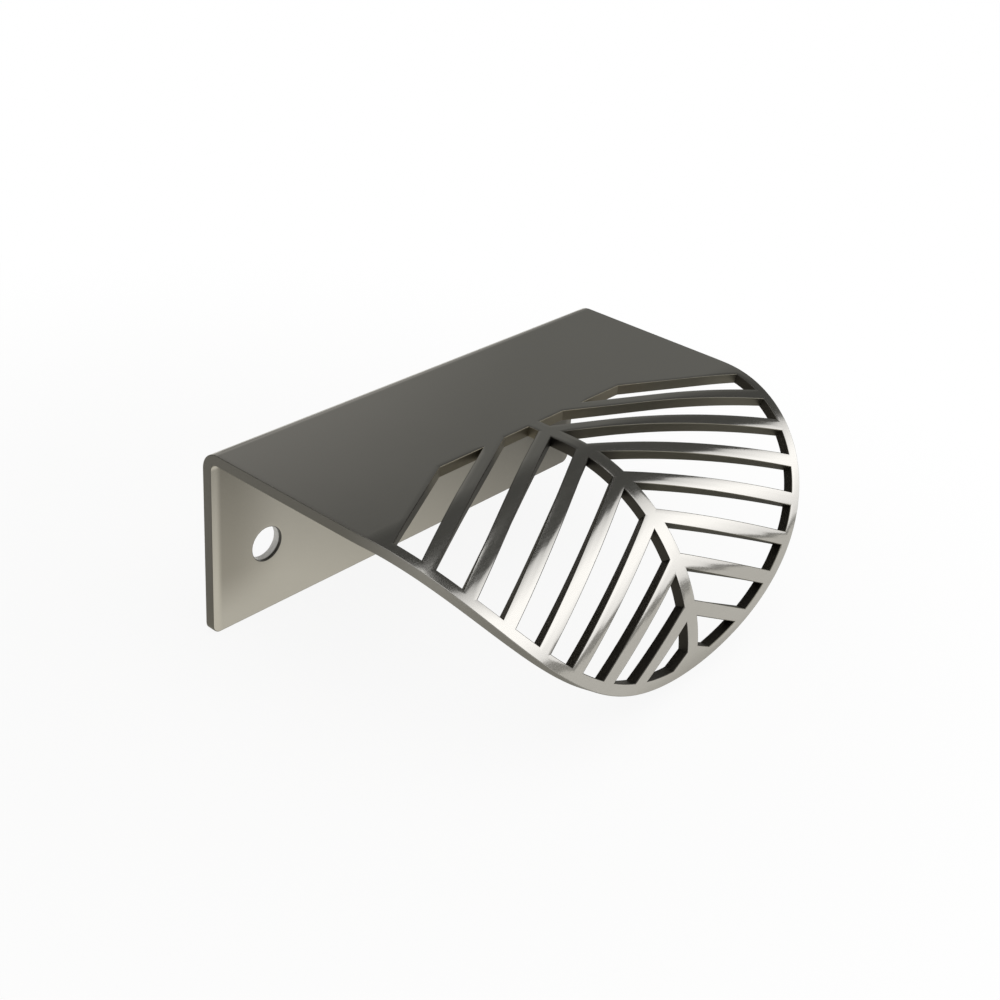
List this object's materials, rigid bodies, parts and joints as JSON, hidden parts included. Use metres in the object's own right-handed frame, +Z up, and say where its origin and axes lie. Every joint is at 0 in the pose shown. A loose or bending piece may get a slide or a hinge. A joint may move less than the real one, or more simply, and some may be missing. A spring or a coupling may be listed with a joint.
{
  "type": "leaf shaped cabinet pull",
  "caption": "Leaf shaped edge pull bent from one stainless steel sheet: a screw flange, a flat plate and a curled leaf pierced with veins.",
  "frame": {"origin": "on the flange's inner face, midway between the two screw holes", "axes": "+X along the bend, -Y out of the flange towards the leaf, +Z up from the flange's foot to the plate"},
  "size_m": [0.06, 0.042, 0.022],
  "materials": {
    "satin_steel": "satin"
  },
  "bodies": {
    "root": {"leaf_pull": "satin_steel"}
  },
  "joints": []
}
